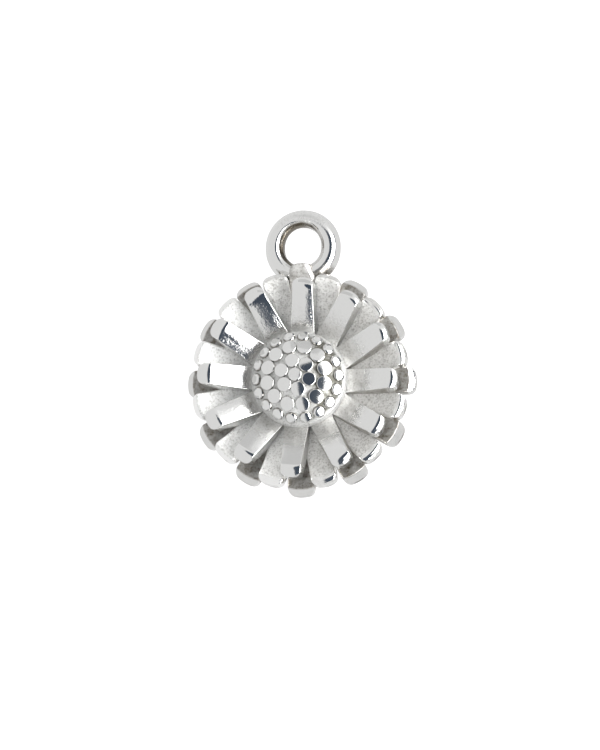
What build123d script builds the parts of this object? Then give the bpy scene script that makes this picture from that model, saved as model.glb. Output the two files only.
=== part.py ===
from build123d import *
import os
from math import radians, tan

# Flower pendant: a cast silver daisy with a fixed eyelet, lying on its back.
# The frame: Z up, flat back on Z = 0, origin on the flower's axis, eyelet towards +Y. Millimetres.

# Whole flower
PETALS = 12  # petals in each of the three whorls
PITCH = 360 / PETALS
TOWARDS_EYELET = 90  # degrees from +X, where each whorl starts
ROOT_RADIUS = 2.1  # where the petals start, inside the hub

# Each petal's top climbs to a crest near its end, where a pad falls to the tip
# Lower whorl: short pegs under the upper petals, one of which carries the eyelet
LOWER_TIP = 6.0  # from the axis to the end of a peg
LOWER_WIDTH = 1.35
LOWER_RISE = 1.0  # height of the crest
LOWER_SLOPE = 5.0  # degrees that the top climbs outwards
LOWER_PAD_REACH = 0.34  # from the crest to the tip
LOWER_PAD_DROP = 0.27  # how far the pad falls
LOWER_TURN = 0.3  # degrees that the whorl is turned past the eyelet

# Middle whorl: broad satin petals between the others
MIDDLE_TIP = 5.7
MIDDLE_WIDTH = 1.3
MIDDLE_RISE = 1.75
MIDDLE_DEPTH = 1.2  # thickness of a petal at its crest
MIDDLE_SLOPE = 24.0
MIDDLE_PAD_REACH = 0.26
MIDDLE_PAD_DROP = 0.21
MIDDLE_TURN = -0.8
KNEE_REACH = 1.25  # from the crest inwards to the bend where the top flattens
INNER_SLOPE = 8.0  # degrees of the flatter part
KNEE_ROUND = 5.0

# Upper whorl: narrow polished petals with leaning sides
UPPER_TIP = 5.25
UPPER_WIDTH = 1.04
UPPER_RISE = 2.76
UPPER_DEPTH = 1.1
UPPER_SLOPE = 30.0
UPPER_PAD_REACH = 0.44
UPPER_PAD_DROP = 0.345
UPPER_TURN = -2.8
UPPER_DRAFT = 4.0  # degrees that a petal's sides lean out downwards

# Roundings of the petals
TIP_CORNER = 0.27  # seen from above
TIP_CROWN = 0.12  # how far a tip bulges past its corners
CREST_ROUND = 0.1
HEEL_ROUND = 0.12  # where the pad turns down into the end
NOSE_ROUND = 0.15  # under the tips that stand free

# Back disc and hub, which join the whorls
BACK_RADIUS = 4.75
BACK_THICK = 0.45
HUB_RADIUS = 2.5  # its rim is the thin collar round the dome
HUB_HEIGHT = 1.75

# Beaded dome: each ring has six beads more than the one inside it
DOME_RADIUS = 3.06  # of the sphere that the bead tops touch
DOME_TOP = 3.35
BEADS_PER_RING = 6
BEAD_RELIEF = 0.17  # height of the beads above the grooves between them
BEAD_FLAT = 0.31  # radius of a bead's flat top
BEAD_ROUND = 0.05
OUTER_BEAD_FLAT = 0.22  # the outermost ring has smaller, rounder beads
OUTER_BEAD_ROUND = 0.1
# Degrees of each ring from the axis, and degrees to its first bead
BEAD_RINGS = ((0.0, 0.0), (14.6, -18.0), (30.7, 13.5), (46.9, 2.1))

# Eyelet: a ring with a ridge on top and a bevel either side of it
HOLE_RADIUS = 0.98
WIRE = 1.0  # width of the ring, seen from above
EYELET_THICK = 1.0
RIDGE = 0.45  # from the hole to the ridge
BEVEL_REACH = 0.33
BEVEL_DROP = 0.21
LAND = 0.4  # length of the straight wall in the hole
LAND_LOW = 0.2  # height at which it starts
FLARE = 0.1  # how far the hole opens below it
SHOULDER_HIGH = 0.38  # top of the ring's upright outer wall
EYELET_ROUND = 0.08
FOOT_EXTRA = 0.25  # how much longer the peg below the eyelet is
FOOT_RISE = 1.05
FOOT_PAD_REACH = 0.1
FOOT_PAD_DROP = 0.08
FOOT_SILL = 0.1  # how far that peg stands into the hole
FOOT_TIP = LOWER_TIP + FOOT_EXTRA
EYELET_Y = FOOT_TIP - FOOT_SILL + HOLE_RADIUS

# Solder web that closes the corners beside the peg below the eyelet
WEB_WIDTH = 1.9
WEB_HEIGHT = 0.8
WEB_START = BACK_RADIUS - 0.15  # inside the rim of the back disc
WEB_END = EYELET_Y - HOLE_RADIUS - WIRE + 0.4  # inside the ring


def rounded(face, corners, radius):
    """The face with a rounding at the corners nearest to the given points."""
    chosen = [face.vertices().sort_by_distance((x, y, 0))[0] for x, y in corners]
    return fillet(chosen, radius)


def plan_of(tip, width):
    """A petal along X, seen from above."""
    half = width / 2
    side_end = tip - TIP_CROWN
    corners = [(side_end, -half), (ROOT_RADIUS, -half), (ROOT_RADIUS, half), (side_end, half)]
    end = ThreePointArc(corners[-1], (tip, 0), corners[0])
    return rounded(make_face(Polyline(*corners) + end), [corners[0], corners[-1]], TIP_CORNER)


def petal(tip, width, rise, depth, slope, reach, drop, draft=0, knee=0):
    """A petal along X, with its crest, its pad and its underside; a knee flattens the inner part."""
    crest = (tip - reach, rise)
    heel = (tip, rise - drop)
    under = rise - depth
    bend = (crest[0] - knee, rise - knee * tan(radians(slope)))
    root_rise = bend[1] - (bend[0] - ROOT_RADIUS) * tan(radians(INNER_SLOPE if knee else slope))
    root_under = under - (crest[0] - ROOT_RADIUS) * tan(radians(slope))
    top = [(ROOT_RADIUS, root_rise), bend, crest] if knee else [(ROOT_RADIUS, root_rise), crest]
    nose = (tip, under)
    outline = [*top, heel, nose, (crest[0], under), (ROOT_RADIUS, root_under)]
    side = rounded(make_face(Polyline(*outline, close=True)), [crest], CREST_ROUND)
    side = rounded(side, [heel], HEEL_ROUND)
    if knee:
        side = rounded(side, [bend], KNEE_ROUND)
    if under > 0:
        side = rounded(side, [nose], NOSE_ROUND)
    body = Pos(0, 0, rise) * extrude(plan_of(tip, width), -rise, taper=-draft)
    return body & extrude(Plane.XZ * side, width, both=True)


def whorl(blade, turn):
    """Copies of a petal all round the flower."""
    return [Rot(Z=TOWARDS_EYELET + turn + k * PITCH) * blade for k in range(PETALS)]


def lower_whorl():
    """Pegs with their undersides on the back; the one that carries the eyelet is longer."""
    peg = petal(LOWER_TIP, LOWER_WIDTH, LOWER_RISE, LOWER_RISE, LOWER_SLOPE, LOWER_PAD_REACH, LOWER_PAD_DROP)
    foot = petal(FOOT_TIP, LOWER_WIDTH, FOOT_RISE, FOOT_RISE, 0, FOOT_PAD_REACH, FOOT_PAD_DROP)
    return [Rot(Z=TOWARDS_EYELET) * foot] + whorl(peg, LOWER_TURN)[1:]


def middle_whorl():
    """Broad petals, half a pitch away from the others."""
    blade = petal(
        MIDDLE_TIP, MIDDLE_WIDTH, MIDDLE_RISE, MIDDLE_DEPTH, MIDDLE_SLOPE,
        MIDDLE_PAD_REACH, MIDDLE_PAD_DROP, knee=KNEE_REACH,
    )
    return whorl(blade, PITCH / 2 + MIDDLE_TURN)


def upper_whorl():
    """Narrow petals above the pegs."""
    blade = petal(
        UPPER_TIP, UPPER_WIDTH, UPPER_RISE, UPPER_DEPTH, UPPER_SLOPE,
        UPPER_PAD_REACH, UPPER_PAD_DROP, draft=UPPER_DRAFT,
    )
    return whorl(blade, UPPER_TURN)


def bead(flat, round_off):
    """A bead that stands on Z = 0 minus its depth, with its flat top on the dome's sphere."""
    depth = 2 * BEAD_RELIEF
    pillar = Cylinder(flat + round_off, depth)
    pillar = fillet(pillar.edges().group_by(Axis.Z)[-1], round_off)
    return Pos(0, 0, DOME_RADIUS - depth / 2) * pillar


def dome():
    """The round floor of the grooves, and the beads that stand on it."""
    centre = Pos(0, 0, DOME_TOP - DOME_RADIUS)
    ball = centre * Sphere(DOME_RADIUS - BEAD_RELIEF)
    pieces = [split(ball, Plane.XY.offset(HUB_HEIGHT / 2))]
    inner, outer = bead(BEAD_FLAT, BEAD_ROUND), bead(OUTER_BEAD_FLAT, OUTER_BEAD_ROUND)
    for number, (lean, start) in enumerate(BEAD_RINGS):
        seated = outer if number == len(BEAD_RINGS) - 1 else inner
        count = max(1, BEADS_PER_RING * number)
        for k in range(count):
            pieces.append(centre * Rot(Z=start + k * 360 / count) * Rot(Y=lean) * seated)
    return pieces


def eyelet():
    """A ring, ridged on top, with a short straight wall in its hole."""
    ridge, outer = HOLE_RADIUS + RIDGE, HOLE_RADIUS + WIRE
    bevel_low = EYELET_THICK - BEVEL_DROP
    section = Polyline(
        (HOLE_RADIUS, LAND_LOW),
        (HOLE_RADIUS, LAND_LOW + LAND),
        (ridge - BEVEL_REACH, bevel_low),
        (ridge, EYELET_THICK),
        (ridge + BEVEL_REACH, bevel_low),
        (outer, SHOULDER_HIGH),
        (outer, LAND_LOW),
        (outer - LAND_LOW, 0),
        (HOLE_RADIUS + FLARE, 0),
        close=True,
    )
    worn = [(ridge - BEVEL_REACH, bevel_low), (ridge, EYELET_THICK), (ridge + BEVEL_REACH, bevel_low)]
    profile = Plane.XZ * rounded(make_face(section), worn, EYELET_ROUND)
    return Pos(0, EYELET_Y, 0) * revolve(profile, Axis.Z)


def pendant():
    """The whole casting as one solid."""
    back = Pos(0, 0, BACK_THICK / 2) * Cylinder(BACK_RADIUS, BACK_THICK)
    hub = Pos(0, 0, HUB_HEIGHT / 2) * Cylinder(HUB_RADIUS, HUB_HEIGHT)
    web = Box(WEB_WIDTH, WEB_END - WEB_START, WEB_HEIGHT)
    web = Pos(0, (WEB_START + WEB_END) / 2, WEB_HEIGHT / 2) * web
    return back.fuse(hub, web, eyelet(), *lower_whorl(), *middle_whorl(), *upper_whorl(), *dome())


os.makedirs("parts", exist_ok=True)
export_step(pendant(), "parts/daisy_pendant.step")
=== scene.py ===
import math
import random

import bmesh
import bpy
from mathutils import Matrix, Vector


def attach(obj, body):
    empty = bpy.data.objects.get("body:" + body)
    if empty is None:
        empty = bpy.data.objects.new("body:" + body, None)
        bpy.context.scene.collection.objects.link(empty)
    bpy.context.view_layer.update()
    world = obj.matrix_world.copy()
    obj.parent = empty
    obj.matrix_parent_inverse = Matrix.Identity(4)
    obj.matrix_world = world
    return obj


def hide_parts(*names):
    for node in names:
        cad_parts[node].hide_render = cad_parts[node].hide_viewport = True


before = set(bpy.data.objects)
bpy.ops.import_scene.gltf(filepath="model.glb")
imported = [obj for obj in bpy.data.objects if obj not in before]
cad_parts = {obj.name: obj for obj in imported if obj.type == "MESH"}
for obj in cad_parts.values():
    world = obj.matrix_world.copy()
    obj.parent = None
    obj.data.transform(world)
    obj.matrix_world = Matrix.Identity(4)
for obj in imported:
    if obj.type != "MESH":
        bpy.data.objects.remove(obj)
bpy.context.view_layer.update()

# The dressed look of the cast silver daisy, in the frame of the part's source.
# Lengths are in millimetres, as there, and become metres where a mesh is made. Angles are in degrees.
MM = 0.001
NODE = "daisy_pendant"
PETALS = 12
PITCH = 360 / PETALS
TOWARDS_EYELET = 90

# Whorls: sizes as in the part's source, with softer edges and some bends of their own.
# The crest is a petal's highest line, and the pad is the polished bevel from there to the tip.
# edge and heel round the crest and the end, seen from the side, and shoulder rounds the long edges.
# belly swells the top across the petal, and bulge swells the pad.
LOWER = {
    "tip": 6.0, "width": 1.35, "rise": 1.0, "depth": 1.0, "slope": 5.0, "knee": 0.0, "turn": 0.3, "draft": 0.0,
    "pad_reach": 0.34, "pad_drop": 0.27,
    "edge": 0.14, "heel": 0.12, "shoulder": 0.08, "belly": 0.0, "bulge": 0.02,
}
MIDDLE = {
    "tip": 5.7, "width": 1.3, "rise": 1.75, "depth": 1.2, "slope": 24.0, "knee": 1.25, "turn": 14.2, "draft": 0.0,
    "pad_reach": 0.26, "pad_drop": 0.21,
    "edge": 0.2, "heel": 0.12, "shoulder": 0.08, "belly": 0.02, "bulge": 0.025,
}
UPPER = {
    "tip": 5.25, "width": 1.04, "rise": 2.76, "depth": 1.1, "slope": 30.0, "knee": 0.0, "turn": -2.8, "draft": 4.0,
    "pad_reach": 0.44, "pad_drop": 0.345,
    "edge": 0.36, "heel": 0.12, "shoulder": 0.03, "belly": 0.05, "bulge": 0.015,
}
# Most pegs have a pad that falls more steeply than in the source
STEEP = dict(LOWER, pad_reach=0.36, pad_drop=0.5, edge=0.06, bulge=0.0)
PLAIN_PEG = 3  # the one that doesn't, counted clockwise from the peg below the eyelet
# The peg below the eyelet is longer and carries a slanting facet at its right corner
FOOT = dict(
    LOWER, tip=6.25, slope=0.0, turn=0.0, pad_reach=0.1, pad_drop=0.08, rise=1.05, depth=1.05,
    edge=0.05, shoulder=0.25,
)
FACET = {"out": 0.4, "aside": 0.9, "start": 0.14, "fall": 0.6}
INNER_SLOPE = 8.0  # of the flatter part inside a knee
SHORTEST_BEND = 0.6  # between the crest and where the top starts to bend
ROOT = 2.1  # radius where the petals start
TIP_CORNER = 0.27
TIP_CROWN = 0.12
CROWN_REACH = 1.2  # how far in from the tip the crown starts
UNDER_NOSE = 0.15
MOST_SHOULDER = 0.3  # of a petal's thickness
PAD_SHARE = 0.24  # how much the upper pads differ from left (longer) to right (shorter)
# How far each upper petal stands aside from an even pitch and how far it rolls, clockwise from the eyelet
ASIDE = (-0.5, -1.0, 0.5, 1.0, 1.0, 1.0, -0.5, -1.5, -0.5, 0.0, 0.5, 0.5)
ROLL = (0.0, 0.0, 0.0, 0.0, 0.0, -1.0, 0.0, -1.5, 3.2, 0.0, -9.0, -4.0)
EDGE_DROOP = 0.045  # of the right edge of the first upper petal
SHINY_ROOTS = (1, 9, 10, 11, 12)  # upper petals that are polished down to the root
PITTED = {1: -0.75, 11: 0.75, 12: -0.1}  # those with pits, and where across them the pits lie, 1 at the left

# Hub, back and dome
BACK_RADIUS = 4.75
BACK_THICK = 0.45
HUB_RADIUS = 2.5
HUB_HEIGHT = 1.75
DOME_RADIUS = 3.06
DOME_TOP = 3.35
BEAD_RELIEF = 0.17
COLLAR_LIP = 0.1
DISC_EDGE = 0.1
LATHE_STEPS = 96
# Rings of beads: angle from the axis, angle to the first bead, radius of a bead's flat, its rounding and stretch
BEAD_RINGS = (
    (0.0, 0.0, 0.31, 0.05, 1.0),
    (14.6, -18.0, 0.32, 0.05, 1.03),
    (30.7, 13.5, 0.33, 0.05, 1.08),
    (46.9, 2.1, 0.18, 0.15, 1.05),
)
BEAD_UPRIGHT = 0.12  # how much less a bead leans than the dome below it
BEAD_VARIES = 0.03  # in size, of one bead from the next
BEAD_TILTS = 2  # at most, either way
BEAD_SIDES = 28

# Eyelet
HOLE_RADIUS = 0.98
WIRE = 1.0
OUTER_RADIUS = HOLE_RADIUS + WIRE
EYELET_THICK = 1.0
EYELET_Y = 7.13
RIDGE = 0.45
RIDGE_RADIUS = HOLE_RADIUS + RIDGE
BEVEL_REACH = 0.33
BEVEL_DROP = 0.21
BEVEL_LOW = EYELET_THICK - BEVEL_DROP
LAND = 0.4
LAND_LOW = 0.2
FLARE = 0.1
SHOULDER_HIGH = 0.38
RING_STEPS = 160
# How far the ring is worn: its hole, its outside and the upper left of the hole
WORN_HOLE = 0.15
WORN_OUTSIDE = 0.06
WORN_LEFT = 0.08

# Solder web, kept inside that of the source: from and to along X, Y and Z
WEB = ((-0.93, 0.93), (4.6, 5.38), (0.02, 0.78))

# The photograph: pixels to a millimetre, the flower axis in it, and how the camera leans
PIXELS_PER_MM = 19.17
PHOTO_SIZE = (600, 750)
AXIS_PIXEL = (303.2, 384.2)
CAMERA_TILT = 12.0  # from straight above
CAMERA_HEADING = -50.3  # from +X, the side to which it leans
CAMERA_ROLL = 0.4
CAMERA_DISTANCE = 260.0
SENSOR = 36.0

# Cards of the studio: azimuth from +X, height above the floor and fade of each corner
DARK_GAP = (
    (77, 64, 1), (90, 79, 1), (-90, 78, 1), (-86, 66, 1), (-82, 38, 1), (-82, 5, 1), (-57, 5, 1),
    (-27, 26, 1), (19, 25, 1), (32, 40, 6), (53, 51, 2),
)
DARK_RIM = (
    (-62, 8, 1), (-30, 8, 1), (0, 8, 1), (34, 8, 1), (34, -5, 1), (0, -5, 1), (-30, -5, 1), (-62, -5, 1),
)
SOFTBOX = (
    (-60, 7, 1), (-60, 26, 1), (-46, 36, 1), (-44, 44, 1), (-27, 43, 1), (-10, 42, 1), (8, 41, 1),
    (28, 38, 3), (40, 35, 4), (40, 20, 4), (30, 7, 1), (6, 6, 1), (-13, 6, 1), (-34, 6, 1),
)
HALO = ((20, 42, 8), (48, 40, 8), (54, 30, 10), (50, 12, 8), (30, 8, 2))
SHADE = ((64, 8, 6), (64, 32, 6), (86, 34, 6), (108, 28, 6), (108, 8, 6))
DARK_BLUE = (0.8, 1.0, 1.35)
WORLD = 0.85  # strength of the even light all round
FLOOR_GREY = 0.25
FLOOR_GLOW = 0.92


def make_mesh(name, points, faces, finish, smooth=True):
    """A piece of the pendant from points in millimetres."""
    mesh = bpy.data.meshes.new(name)
    mesh.from_pydata([Vector(p) * MM for p in points], [], faces)
    shell = bmesh.new()
    shell.from_mesh(mesh)
    bmesh.ops.recalc_face_normals(shell, faces=shell.faces)
    shell.to_mesh(mesh)
    shell.free()
    mesh.polygons.foreach_set("use_smooth", [smooth] * len(mesh.polygons))
    mesh.materials.append(finish)
    piece = bpy.data.objects.new(name, mesh)
    bpy.context.scene.collection.objects.link(piece)
    return piece


def loft(rings):
    """Points and faces of a skin through rings of points, flat at both ends."""
    count = len(rings[0])
    points = [p for ring in rings for p in ring]
    faces = []
    for i in range(len(rings) - 1):
        here, there = i * count, (i + 1) * count
        for j in range(count):
            k = (j + 1) % count
            faces.append((here + j, here + k, there + k, there + j))
    faces.append(tuple(range(count)))
    faces.append(tuple(range(len(points) - count, len(points))))
    return points, faces


def set_attribute(piece, name, values):
    """A number for each vertex that the finish reads."""
    layer = piece.data.attributes.new(name, "FLOAT", "POINT")
    layer.data.foreach_set("value", values)


def smoothstep(low, high, x):
    t = min(1.0, max(0.0, (x - low) / (high - low)))
    return t * t * (3 - 2 * t)


def facing(turn, azimuth):
    """How far a petal at a turn points towards an azimuth: from 1, towards it, to -1."""
    return math.cos(math.radians(turn - azimuth))


def rounded_off(radius, end, x):
    """How far the rounding of a corner at the end has come in at x."""
    return radius - math.sqrt(max(0.0, radius ** 2 - max(0.0, x - end + radius) ** 2))


def round_corner(before, corner, after, radius, steps):
    """The arc that rounds a corner between two neighbours."""
    corner = Vector(corner)
    back = (Vector(before) - corner).normalized()
    ahead = (Vector(after) - corner).normalized()
    half_angle = back.angle(ahead) / 2
    centre = corner + (back + ahead).normalized() * (radius / math.sin(half_angle))
    first = corner + back * (radius / math.tan(half_angle))
    last = corner + ahead * (radius / math.tan(half_angle))
    sweep = (first - centre).angle_signed(last - centre)
    return [centre + Matrix.Rotation(-sweep * k / steps, 2) @ (first - centre) for k in range(steps + 1)]


def rounded_outline(corners, radii, arc_steps, side_steps):
    """A closed outline with a rounding at each corner and points spread along each side."""
    count = len(corners)
    arcs = []
    for i in range(count):
        arcs.append(round_corner(corners[i - 1], corners[i], corners[(i + 1) % count], radii[i], arc_steps))
    outline = []
    for i in range(count):
        outline += arcs[i]
        nxt = arcs[(i + 1) % count][0]
        for k in range(1, side_steps[i]):
            outline.append(arcs[i][-1].lerp(nxt, k / side_steps[i]))
    return outline


def petal_profile(whorl):
    """Points along the middle of a petal's top, from its root to its end: radius and height."""
    climb = math.tan(math.radians(whorl["slope"]))
    crest = Vector((whorl["tip"] - whorl["pad_reach"], whorl["rise"]))
    heel = Vector((whorl["tip"], crest.y - whorl["pad_drop"]))
    below = Vector((whorl["tip"], heel.y - 1))
    knee = crest - Vector((1, climb)) * max(whorl["knee"], SHORTEST_BEND)
    inner = math.tan(math.radians(INNER_SLOPE)) if whorl["knee"] else climb
    root = knee - Vector((1, inner)) * (knee.x - ROOT)
    edge_arc = round_corner(knee, crest, heel, whorl["edge"], 8)
    heel_arc = round_corner(crest, heel, below, whorl["heel"], 8)
    bend = [root + (knee - root) * 0.6, knee, knee + (crest - knee) * 0.45]
    profile = [root.lerp(bend[0], k / 10) for k in range(10)]
    for k in range(8):
        t = k / 8
        profile.append(bend[0] * (1 - t) ** 2 + bend[1] * 2 * t * (1 - t) + bend[2] * t ** 2)
    profile += [bend[2].lerp(edge_arc[0], k / 5) for k in range(5)] + edge_arc
    out = (heel - crest).orthogonal().normalized()
    if out.x < 0:
        out = -out
    for k in range(1, 6):
        t = k / 6
        profile.append(edge_arc[-1].lerp(heel_arc[0], t) + out * whorl["bulge"] * 4 * t * (1 - t))
    return profile + heel_arc


def past_facet(facet, x, v):
    """How far a place lies past the start of a facet: x from the tip and v to the left."""
    return x * facet["out"] - v * facet["aside"] - facet["start"]


def petal_rings(whorl, roll, droop, facet):
    """Cross-sections of one petal that lies along X, and where on the petal each point is."""
    half, tip, rise = whorl["width"] / 2, whorl["tip"], whorl["rise"]
    lean = math.tan(math.radians(whorl["draft"]))
    climb = math.tan(math.radians(whorl["slope"]))
    tip_over = math.tan(math.radians(roll))
    crest = tip - whorl["pad_reach"]
    under = rise - whorl["depth"]
    rings, places = [], []
    for x, top in petal_profile(whorl):
        low = under - max(0.0, crest - x) * climb
        low += rounded_off(UNDER_NOSE, tip, x)
        low = max(low, 0.0)
        tuck = rounded_off(TIP_CORNER, tip, x)
        wide, wider = half - tuck + (rise - top) * lean, half - tuck + (rise - low) * lean
        soft = min(whorl["shoulder"], MOST_SHOULDER * (top - low))
        corners = [(-wide, top), (wide, top), (wider, low), (-wider, low)]
        outline = rounded_outline(corners, [soft] * 4, 5, (24, 5, 3, 5))
        ring = []
        for v, z in outline:
            share = min(1.0, abs(v) / half)
            upper = smoothstep(low, top, z)
            drooping = droop * max(0.0, (-v / half - 0.1) / 0.9) ** 2
            bulge = (whorl["belly"] * (1 - share ** 2) + v * tip_over - drooping) * upper
            crown = smoothstep(tip - CROWN_REACH, tip, x) * TIP_CROWN * share ** 2
            place = Vector((x - crown, v, z + bulge))
            if facet:
                place.z = min(place.z, top - facet["fall"] * max(0.0, past_facet(facet, x - tip, v)))
            ring.append(place)
            places.append(((x - crest) / whorl["pad_reach"], v / half, top - z, x))
        rings.append(ring)
    return rings, places


def petal(name, whorl, angle, finish, look, roll=0.0, droop=0.0, facet=None):
    """One petal with its finish, at an angle from +X. look gives tarnish with painted shade, and rawness, for a
    place on it.
    """
    rings, places = petal_rings(whorl, roll, droop, facet)
    turn = Matrix.Rotation(math.radians(angle), 4, "Z")
    points, faces = loft([[turn @ p for p in ring] for ring in rings])
    piece = make_mesh(name, points, faces, finish)
    looks = [look(*place) for place in places]
    set_attribute(piece, "tarnish_and_shade", [tarnish_and_shade for tarnish_and_shade, rawness in looks])
    set_attribute(piece, "rawness", [rawness for tarnish_and_shade, rawness in looks])
    return piece


def lathe(name, profile, finish):
    """A profile of (radius, height) points turned about the flower's axis."""
    points, faces = [], []
    for k in range(LATHE_STEPS):
        a = 2 * math.pi * k / LATHE_STEPS
        points += [Vector((r * math.cos(a), r * math.sin(a), z)) for r, z in profile]
    count = len(profile)
    for i in range(LATHE_STEPS):
        here, there = i * count, (i + 1) % LATHE_STEPS * count
        for j in range(count - 1):
            faces.append((here + j, here + j + 1, there + j + 1, there + j))
    piece = make_mesh(name, points, faces, finish)
    shell = bmesh.new()
    shell.from_mesh(piece.data)
    bmesh.ops.remove_doubles(shell, verts=shell.verts, dist=1e-7)
    bmesh.ops.recalc_face_normals(shell, faces=shell.faces)
    shell.to_mesh(piece.data)
    shell.free()
    return piece


# What the finishes share: sizes of the cast skin and of the tarnish's blotches, and blue against red
SKIN_SIZE = 0.1
BLOTCH_SIZE = 0.3
WARMTH = 0.987


def silver(name, bright, roughness, wave, grain, skin_depth, dark=(0.16, 0.14, 0.11)):
    """Silver with waves left by polishing, a grain, and a cast skin, tarnish and painted shade where the
    attributes say.

    roughness is that of polished and of raw metal. wave and grain are a depth and a size.
    """
    material = bpy.data.materials.new(name)
    material.use_nodes = True
    tree = material.node_tree
    shader = tree.nodes["Principled BSDF"]
    shader.inputs["Metallic"].default_value = 1.0

    def node(kind, **inputs):
        made = tree.nodes.new(kind)
        for key, value in inputs.items():
            made.inputs[key.replace("_", " ")].default_value = value
        return made

    def link(source, target):
        tree.links.new(source, target)

    place = tree.nodes.new("ShaderNodeTexCoord")
    # This attribute carries both real tarnish and painted shade, and both darken the colour
    tarnish_and_shade = tree.nodes.new("ShaderNodeAttribute")
    tarnish_and_shade.attribute_name = "tarnish_and_shade"
    rawness = tree.nodes.new("ShaderNodeAttribute")
    rawness.attribute_name = "rawness"
    waves = node("ShaderNodeTexNoise", Scale=1 / (wave[1] * MM), Detail=1.0)
    grains = node("ShaderNodeTexNoise", Scale=1 / (grain[1] * MM), Detail=3.0)
    skin = node("ShaderNodeTexNoise", Scale=1 / (SKIN_SIZE * MM), Detail=3.0, Roughness=0.6)
    blotch = node("ShaderNodeTexNoise", Scale=1 / (BLOTCH_SIZE * MM), Detail=4.0)
    for texture in (waves, grains, skin, blotch):
        link(place.outputs["Object"], texture.inputs["Vector"])

    stain = node("ShaderNodeMapRange", From_Min=0.35, From_Max=0.65, To_Min=0.55, To_Max=1.0)
    link(blotch.outputs["Fac"], stain.inputs["Value"])
    speck = node("ShaderNodeMapRange", From_Min=0.48, From_Max=0.72, To_Min=0.0, To_Max=0.4)
    link(skin.outputs["Fac"], speck.inputs["Value"])
    speckled = tree.nodes.new("ShaderNodeMath")
    speckled.operation = "MULTIPLY"
    link(rawness.outputs["Fac"], speckled.inputs[0])
    link(speck.outputs["Result"], speckled.inputs[1])
    amount = tree.nodes.new("ShaderNodeMath")
    amount.operation = "MULTIPLY_ADD"
    amount.use_clamp = True
    link(tarnish_and_shade.outputs["Fac"], amount.inputs[0])
    link(stain.outputs["Result"], amount.inputs[1])
    link(speckled.outputs[0], amount.inputs[2])

    colour = tree.nodes.new("ShaderNodeMix")
    colour.data_type = "RGBA"
    colour.inputs["A"].default_value = (bright, bright, bright * WARMTH, 1)
    colour.inputs["B"].default_value = (*dark, 1)
    link(amount.outputs[0], colour.inputs["Factor"])
    link(colour.outputs["Result"], shader.inputs["Base Color"])

    rough = node("ShaderNodeMapRange", From_Min=0.0, From_Max=1.0, To_Min=roughness[0], To_Max=roughness[1])
    link(rawness.outputs["Fac"], rough.inputs["Value"])
    link(rough.outputs["Result"], shader.inputs["Roughness"])

    wavy = node("ShaderNodeBump", Strength=1.0, Distance=wave[0] * MM)
    grainy = node("ShaderNodeBump", Strength=1.0, Distance=grain[0] * MM)
    cast = node("ShaderNodeBump", Distance=skin_depth * MM)
    link(waves.outputs["Fac"], wavy.inputs["Height"])
    link(grains.outputs["Fac"], grainy.inputs["Height"])
    link(skin.outputs["Fac"], cast.inputs["Height"])
    link(rawness.outputs["Fac"], cast.inputs["Strength"])
    link(wavy.outputs["Normal"], grainy.inputs["Normal"])
    link(grainy.outputs["Normal"], cast.inputs["Normal"])
    link(cast.outputs["Normal"], shader.inputs["Normal"])
    return material


POLISHED = silver("polished_silver", 0.785, (0.09, 0.4), (0.004, 0.5), (0.0006, 0.05), 0.010)
PITS = silver("pitted_silver", 0.785, (0.07, 0.5), (0.006, 0.2), (0.0006, 0.05), 0.04)
# Satin silver is paler than the others: partly the satin's own tone, partly painted light on the middle petals and
# the foot
SATIN_LIT = silver("satin_silver_lit", 0.96, (0.12, 0.72), (0.003, 0.4), (0.001, 0.06), 0.030)
RAW = silver("cast_silver", 0.785, (0.14, 0.46), (0.003, 0.5), (0.001, 0.06), 0.020)
# The groove silver's darker tarnish colour also deepens the painted shade on the hub
GROOVE = silver("groove_silver", 0.785, (0.3, 0.65), (0.003, 0.5), (0.001, 0.06), 0.004, (0.13, 0.126, 0.108))


# A look gives tarnish with painted shade, and rawness, from 0 to 1, for a place on a petal. s goes from 0 at
# the crest to 1 at the tip and is negative further in, v from -1 at the right edge to 1 at the left, d is the
# depth below the top and x the distance from the flower's axis
# Peg tops: rough cast skin, and painted shade under the upper petals
PEG_SKIN_AND_SHADE = 0.8
PEG_TARNISH = 0.1
WALL_SHADE = 0.08  # painted shade on the upper petals' sides, and how much more on the right
WALL_SHADE_RIGHT = 0.7
PIT_RAWNESS = 0.22


def foot_look(s, v, d, x):
    """The peg below the eyelet: dull, but for the facet at its corner."""
    past = past_facet(FACET, x - FOOT["tip"], v * FOOT["width"] / 2)
    beyond = smoothstep(0.12, 0.18, past)
    bright = smoothstep(0.0, 0.04, past) * (1 - beyond)
    return 0.5 * (1 - bright) + 0.35 * beyond, 0.9 * (1 - bright)


def peg_look(s, v, d, x):
    """A rough top, darkened partly by cast skin and partly by painted shade under the upper petals, and a polished
    pad with a dark line painted at its rim as painted shade.
    """
    top = 1 - smoothstep(0.02, 0.12, s)
    # Painted shade: a dark line along the pad's rim
    rim_shade = smoothstep(0.9, 1.0, s)
    return max(PEG_SKIN_AND_SHADE * top, PEG_TARNISH, 0.4 * rim_shade), PEG_SKIN_AND_SHADE * top


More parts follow.
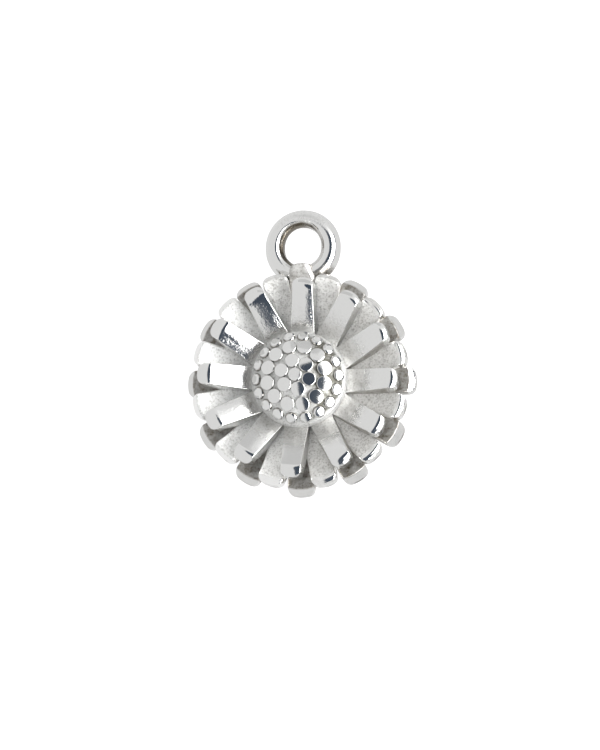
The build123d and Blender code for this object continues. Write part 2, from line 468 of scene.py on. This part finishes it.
def middle_look(turn):
    """Satin, with painted shade on the petals turned away from the left. On the right the satin ends short of the
    crest, which shows as a line.
    """
    # Painted shade, more on petals that turn away from the left, where less light falls
    turned_away_shade = 0.24 * (1 - smoothstep(0.0, 0.7, facing(turn, 195)))
    edge = -0.4 if facing(turn, -30) > 0 else 0.3

    def look(s, v, d, x):
        top = 1 - smoothstep(edge - 0.3, edge, s)
        # down also paints shade down the sides, under the upper petals
        down = smoothstep(0.25, 0.7, d) * (1 - smoothstep(MIDDLE["tip"] - 0.5, MIDDLE["tip"] - 0.2, x))
        shoulder = smoothstep(0.88, 0.96, abs(v)) * (1 - smoothstep(0.02, 0.12, d))
        # Painted shade: a dark line along the pad's rim
        rim_shade = smoothstep(0.93, 1.0, s)
        return max(turned_away_shade, 0.35 * down, 0.35 * rim_shade), top * (1 - 0.7 * shoulder)

    return look


def upper_look(painted_wall_shade):
    """Polished, but raw at the root, and rougher down the sides, where painted shade darkens them."""

    def look(s, v, d, x):
        down = smoothstep(0.06, 0.35, d) * (1 - smoothstep(UPPER["tip"] - 0.6, UPPER["tip"] - 0.3, x))
        inner = 1 - smoothstep(HUB_RADIUS + 0.3, HUB_RADIUS + 1.7, x)
        shoulder = smoothstep(0.0, 0.02, d) * (1 - smoothstep(-0.4, 0.0, s))
        # Painted shade: a dark line along the pad's rim
        rim_shade = smoothstep(0.95, 1.0, s)
        # Painted shade down the sides
        tarnish_and_shade = max(painted_wall_shade * down, 0.22 * inner, 0.24 * rim_shade)
        return tarnish_and_shade, max(0.06 + 0.94 * inner, 0.8 * shoulder, 0.6 * down)

    return look


def shiny_look(pits):
    """Polished down to the root. pits says where across the petal the casting left pits, if it did."""
    plain = upper_look(WALL_SHADE)

    def look(s, v, d, x):
        tarnish_and_shade, raw = plain(s, v, d, x)
        patch = 0.0
        if pits is not None:
            patch = smoothstep(-5.5, -3.5, s) * (1 - smoothstep(-1.2, -0.4, s))
            patch *= 1 - smoothstep(0.3, 0.6, abs(v - pits))
        return 0.3 * tarnish_and_shade, max(0.3 * raw, PIT_RAWNESS * patch)

    return look


def upper_petal(k, number):
    """An upper petal, with its own stance, pad and finish."""
    turn = TOWARDS_EYELET + k * PITCH + UPPER["turn"] + ASIDE[number - 1]
    share = 1 - PAD_SHARE * facing(turn, 0)
    own = dict(UPPER, pad_reach=UPPER["pad_reach"] * share, pad_drop=UPPER["pad_drop"] * share)
    name, roll = f"upper_petal_{k + 1}", ROLL[number - 1]
    if number in SHINY_ROOTS:
        droop = EDGE_DROOP if number == 1 else 0.0
        return petal(name, own, turn, PITS, shiny_look(PITTED.get(number)), roll, droop)
    # Painted shade on the sides, more on petals that turn to the right
    painted_wall_shade = WALL_SHADE + WALL_SHADE_RIGHT * smoothstep(0.0, 0.7, facing(turn, -20))
    return petal(name, own, turn, POLISHED, upper_look(painted_wall_shade), roll)


def build_whorls():
    """The 36 petals. Names count anticlockwise from the eyelet, and the petals' own values clockwise."""
    pieces = []
    for k in range(PETALS):
        start, clockwise = TOWARDS_EYELET + k * PITCH, -k % PETALS
        if k == 0:
            pieces.append(petal("lower_petal_1", FOOT, start, SATIN_LIT, foot_look, facet=FACET))
        else:
            peg = LOWER if clockwise == PLAIN_PEG else STEEP
            pieces.append(petal(f"lower_petal_{k + 1}", peg, start + LOWER["turn"], RAW, peg_look))
        turn = start + MIDDLE["turn"]
        pieces.append(petal(f"middle_petal_{k + 1}", MIDDLE, turn, SATIN_LIT, middle_look(turn)))
        pieces.append(upper_petal(k, clockwise + 1))
    return pieces


def quarter_round(radius, steps):
    """Distances along and off a rounding that turns a right angle."""
    angles = [math.pi / 2 * k / steps for k in range(steps + 1)]
    return [(radius * math.sin(a), radius * math.cos(a)) for a in angles]


def build_hub():
    """The floor of the grooves and the collar round it."""
    centre, floor = DOME_TOP - DOME_RADIUS, DOME_RADIUS - BEAD_RELIEF
    edge = math.acos((HUB_HEIGHT - centre) / floor)
    profile = [(floor * math.sin(edge * k / 24), centre + floor * math.cos(edge * k / 24)) for k in range(25)]
    for along, off in quarter_round(COLLAR_LIP, 6):
        profile.append((HUB_RADIUS - COLLAR_LIP + along, HUB_HEIGHT - COLLAR_LIP + off))
    profile.append((HUB_RADIUS, BACK_THICK / 2))
    hub = lathe("hub", profile, GROOVE)
    # Inside the collar the groove floor grows darker towards +X: painted shade where the softbox lights it most
    tarnish_and_shade = []
    for p in hub.data.vertices:
        inside = 1 - smoothstep(HUB_RADIUS - 0.25, HUB_RADIUS - 0.1, math.hypot(p.co.x, p.co.y) / MM)
        tarnish_and_shade.append(0.1 + inside * smoothstep(0.2, 1.2, p.co.x / MM))
    set_attribute(hub, "tarnish_and_shade", tarnish_and_shade)
    set_attribute(hub, "rawness", [1.0] * len(hub.data.vertices))
    return hub


def bead_outline(size, round_off):
    """A bead's section: radius and height from its top, which follows the dome."""
    outline = []
    for j in range(5):
        r = size * (j + 1) / 5
        outline.append((r, math.sqrt(DOME_RADIUS ** 2 - r ** 2) - DOME_RADIUS))
    low = outline[-1][1]
    for j in range(1, 9):
        a = math.pi / 2 * j / 8
        outline.append((size + round_off * math.sin(a), low - round_off * (1 - math.cos(a))))
    outline.append((size + round_off, -2 * BEAD_RELIEF))
    return outline


def build_beads():
    """All beads as one piece."""
    draw = random.Random(4)
    points, faces, painted_wall_shade = [], [], []
    for number, (lean, start, flat, round_off, stretch) in enumerate(BEAD_RINGS):
        count = max(1, 6 * number)
        # Painted shade darkens each bead's rounded wall into a dark outline in the crease, most on the outer ring
        bead_wall_shade = 0.8 if number == len(BEAD_RINGS) - 1 else 0.4
        for k in range(count):
            turn = Matrix.Rotation(math.radians(start + k * 360 / count), 4, "Z")
            tip = Matrix.Rotation(math.radians(lean), 4, "Y")
            upright = Matrix.Rotation(math.radians(-BEAD_UPRIGHT * lean), 4, "Y")
            size = flat * draw.uniform(1 - BEAD_VARIES, 1 + BEAD_VARIES)
            tilt = Matrix.Rotation(math.radians(draw.uniform(-BEAD_TILTS, BEAD_TILTS)), 4, "X")
            tilt = tilt @ Matrix.Rotation(math.radians(draw.uniform(-BEAD_TILTS, BEAD_TILTS)), 4, "Y")
            lift = Matrix.Translation((0, 0, DOME_RADIUS))
            seat = Matrix.Translation((0, 0, DOME_TOP - DOME_RADIUS)) @ turn @ tip @ lift @ upright @ tilt
            outline = bead_outline(size, round_off)
            base = len(points)
            points.append(seat @ Vector((0, 0, 0)))
            painted_wall_shade.append(0.0)
            for r, z in outline:
                painted_wall_shade += [bead_wall_shade * smoothstep(0.5, 1.0, (r - size) / round_off)] * BEAD_SIDES
                for i in range(BEAD_SIDES):
                    a = 2 * math.pi * i / BEAD_SIDES
                    points.append(seat @ Vector((r * stretch * math.cos(a), r * math.sin(a), z)))
            for i in range(BEAD_SIDES):
                faces.append((base, base + 1 + i, base + 1 + (i + 1) % BEAD_SIDES))
            for j in range(len(outline) - 1):
                here, there = base + 1 + j * BEAD_SIDES, base + 1 + (j + 1) * BEAD_SIDES
                for i in range(BEAD_SIDES):
                    n = (i + 1) % BEAD_SIDES
                    faces.append((here + i, here + n, there + n, there + i))
            last = base + 1 + (len(outline) - 1) * BEAD_SIDES
            faces.append(tuple(last + i for i in range(BEAD_SIDES)))
    beads = make_mesh("beads", points, faces, POLISHED)
    set_attribute(beads, "tarnish_and_shade", painted_wall_shade)
    set_attribute(beads, "rawness", [0.05] * len(painted_wall_shade))
    return beads


def build_back():
    """The flat disc that the petals stand on."""
    profile = [(0, 0)]
    for along, off in quarter_round(DISC_EDGE, 6):
        profile.append((BACK_RADIUS - DISC_EDGE + along, DISC_EDGE - off))
    profile += [(BACK_RADIUS, BACK_THICK), (0, BACK_THICK)]
    disc = lathe("back", profile, RAW)
    set_attribute(disc, "tarnish_and_shade", [0.6] * len(disc.data.vertices))
    set_attribute(disc, "rawness", [0.5] * len(disc.data.vertices))
    return disc


def eyelet_outline():
    """The ring's section: radius and height."""
    # Each corner with its rounding and the steps from there to the next one
    corners = [
        ((RIDGE_RADIUS - BEVEL_REACH + 0.06, BEVEL_LOW + 0.03), 0.1, 4),
        ((RIDGE_RADIUS, EYELET_THICK), 0.35, 4),
        ((RIDGE_RADIUS + BEVEL_REACH, BEVEL_LOW), 0.6, 3),
        ((OUTER_RADIUS, SHOULDER_HIGH), 0.12, 1),
        ((OUTER_RADIUS, LAND_LOW), 0.1, 1),
        ((OUTER_RADIUS - LAND_LOW, 0), 0.06, 3),
        ((HOLE_RADIUS + FLARE, 0), 0.05, 1),
        ((HOLE_RADIUS, LAND_LOW), 0.05, 3),
        ((HOLE_RADIUS, LAND_LOW + LAND), 0.08, 3),
    ]
    places, radii, steps = zip(*corners)
    return rounded_outline(places, radii, 9, steps)


def build_eyelet():
    """A ring with a soft ridge on top, a bevel either side of it and a straight wall in its hole."""
    bevel_in = RIDGE_RADIUS - BEVEL_REACH
    outline = eyelet_outline()
    count = len(outline)
    points, faces, tarnish_and_shade, rawness = [], [], [], []
    for k in range(RING_STEPS):
        a = 2 * math.pi * k / RING_STEPS
        worn = max(0.0, math.sin(a))
        upper_left = smoothstep(-0.2, 0.8, math.cos(a - math.radians(135)))
        above = smoothstep(0.55, 1.0, math.cos(a - math.radians(112)))
        beside_foot = smoothstep(0.85, 0.95, math.cos(a + math.radians(60)))
        for r, z in outline:
            out = r + WORN_HOLE * worn ** 1.5 * (1 - smoothstep(HOLE_RADIUS, RIDGE_RADIUS, r))
            out += WORN_OUTSIDE * worn * smoothstep(RIDGE_RADIUS, OUTER_RADIUS, r)
            high = smoothstep(LAND_LOW, BEVEL_LOW, z)
            out += WORN_LEFT * upper_left * high * (1 - smoothstep(HOLE_RADIUS + 0.1, RIDGE_RADIUS, r))
            points.append(Vector((out * math.cos(a), EYELET_Y + out * math.sin(a), z)))
            # The hole's wall is darkened as painted shade, most at the upper left
            wall = 1 - smoothstep(bevel_in, bevel_in + 0.08, r)
            # Darker and rougher inside the ridge at the top
            dulled_top_inside = above * (1 - smoothstep(RIDGE_RADIUS - 0.15, RIDGE_RADIUS - 0.02, r))
            solder = beside_foot * smoothstep(RIDGE_RADIUS, RIDGE_RADIUS + 0.1, r)
            blurred = smoothstep(0.4, 0.9, math.sin(a)) * smoothstep(RIDGE_RADIUS - 0.1, RIDGE_RADIUS + 0.1, r)
            tarnish_and_shade.append(max((0.3 + 1.1 * upper_left) * wall, 0.36 * dulled_top_inside, 0.8 * solder))
            rawness.append(max(0.06, 0.15 * wall, 0.5 * dulled_top_inside, 0.6 * blurred, 0.8 * solder))
        here, there = k * count, (k + 1) % RING_STEPS * count
        for j in range(count):
            n = (j + 1) % count
            faces.append((here + j, here + n, there + n, there + j))
    ring = make_mesh("eyelet", points, faces, POLISHED)
    set_attribute(ring, "tarnish_and_shade", tarnish_and_shade)
    set_attribute(ring, "rawness", rawness)
    return ring


def build_web():
    """The solder that closes the corners beside the peg below the eyelet."""
    points = [(x, y, z) for x in WEB[0] for y in WEB[1] for z in WEB[2]]
    faces = [(0, 1, 3, 2), (4, 6, 7, 5), (0, 4, 5, 1), (2, 3, 7, 6), (0, 2, 6, 4), (1, 5, 7, 3)]
    web = make_mesh("web", points, faces, RAW, smooth=False)
    set_attribute(web, "tarnish_and_shade", [0.6] * len(points))
    set_attribute(web, "rawness", [0.8] * len(points))
    return web


def build_camera():
    """A long lens that leans over the pendant as in the photograph."""
    tilt, heading = math.radians(CAMERA_TILT), math.radians(CAMERA_HEADING)
    back = Vector((math.sin(tilt) * math.cos(heading), math.sin(tilt) * math.sin(heading), math.cos(tilt)))
    right = Vector((0, 1, 0)).cross(back).normalized()
    turn = Matrix.Rotation(math.radians(CAMERA_ROLL), 3, back)
    right = turn @ right
    up = back.cross(right)
    across = (PHOTO_SIZE[0] / 2 - AXIS_PIXEL[0]) / PIXELS_PER_MM
    along = (AXIS_PIXEL[1] - PHOTO_SIZE[1] / 2) / PIXELS_PER_MM
    aim = right * across + up * along
    data = bpy.data.cameras.new("camera")
    data.sensor_width = SENSOR
    data.lens = PIXELS_PER_MM * SENSOR * CAMERA_DISTANCE / PHOTO_SIZE[1]
    data.clip_start = 0.01
    camera = bpy.data.objects.new("camera", data)
    bpy.context.scene.collection.objects.link(camera)
    orientation = Matrix((right, up, back)).transposed().to_4x4()
    camera.matrix_world = Matrix.Translation((aim + back * CAMERA_DISTANCE) * MM) @ orientation
    bpy.context.scene.camera = camera


def sky(azimuth, height):
    """A direction in the studio, in degrees from +X and above the floor."""
    a, h = math.radians(azimuth), math.radians(height)
    return Vector((math.cos(h) * math.cos(a), math.cos(h) * math.sin(a), math.sin(h)))


def sky_card(name, outline, strength, distance, colour=(1, 1, 1)):
    """A glowing or dark card, seen only in reflections and as light, with a border that fades out."""
    count = len(outline)
    middle = sum((sky(azimuth, height) for azimuth, height, fade in outline), Vector()).normalized()
    inner, outer = [], []
    for azimuth, height, fade in outline:
        corner = sky(azimuth, height)
        half_fade = Matrix.Rotation(math.radians(fade / 2), 3, middle.cross(corner))
        inner.append(corner @ half_fade * distance)
        outer.append(half_fade @ corner * distance)
    faces = [tuple(range(count))]
    for i in range(count):
        k = (i + 1) % count
        faces.append((i, k, count + k, count + i))
    mesh = bpy.data.meshes.new(name)
    mesh.from_pydata(inner + outer, [], faces)
    cover = mesh.attributes.new("cover", "FLOAT", "POINT")
    cover.data.foreach_set("value", [1.0] * count + [0.0] * count)
    material = bpy.data.materials.new(name)
    material.use_nodes = True
    tree = material.node_tree
    tree.nodes.clear()
    glow = tree.nodes.new("ShaderNodeEmission")
    glow.inputs["Strength"].default_value = strength
    glow.inputs["Color"].default_value = (*colour, 1)
    clear = tree.nodes.new("ShaderNodeBsdfTransparent")
    share = tree.nodes.new("ShaderNodeAttribute")
    share.attribute_name = "cover"
    mix = tree.nodes.new("ShaderNodeMixShader")
    out = tree.nodes.new("ShaderNodeOutputMaterial")
    tree.links.new(share.outputs["Fac"], mix.inputs[0])
    tree.links.new(clear.outputs[0], mix.inputs[1])
    tree.links.new(glow.outputs[0], mix.inputs[2])
    tree.links.new(mix.outputs[0], out.inputs[0])
    mesh.materials.append(material)
    card = bpy.data.objects.new(name, mesh)
    bpy.context.scene.collection.objects.link(card)
    card.visible_camera = False
    card.visible_shadow = False


def build_studio():
    """Pale floor, even light all round, a bright softbox on the right and the dark gap beside it."""
    mesh = bpy.data.meshes.new("floor")
    mesh.from_pydata([(-1, -1, 0), (1, -1, 0), (1, 1, 0), (-1, 1, 0)], [], [(0, 1, 2, 3)])
    floor = bpy.data.objects.new("floor", mesh)
    bpy.context.scene.collection.objects.link(floor)
    floor.visible_glossy = False
    paper = bpy.data.materials.new("floor")
    paper.use_nodes = True
    shader = paper.node_tree.nodes["Principled BSDF"]
    shader.inputs["Base Color"].default_value = (FLOOR_GREY, FLOOR_GREY, FLOOR_GREY, 1)
    shader.inputs["Roughness"].default_value = 0.8
    shader.inputs["Emission Color"].default_value = (1, 1, 1, 1)
    shader.inputs["Emission Strength"].default_value = FLOOR_GLOW
    mesh.materials.append(paper)

    world = bpy.data.worlds.new("studio")
    world.use_nodes = True
    sky_light = world.node_tree.nodes["Background"]
    sky_light.inputs["Color"].default_value = (1, 1, 1, 1)
    sky_light.inputs["Strength"].default_value = WORLD
    bpy.context.scene.world = world

    sky_card("dark_gap", DARK_GAP, 0.08, 2.4, DARK_BLUE)
    sky_card("dark_rim", DARK_RIM, 0.08, 2.4, DARK_BLUE)
    sky_card("shade", SHADE, 0.66, 0.8)
    sky_card("halo", HALO, 1.14, 0.7)
    sky_card("softbox", SOFTBOX, 10.0, 0.6)
    bpy.context.scene.view_settings.view_transform = "Standard"


build_camera()
build_studio()
parts = build_whorls() + [build_hub(), build_beads(), build_back(), build_eyelet(), build_web()]
for part in parts:
    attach(part, "root")
    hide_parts(NODE)
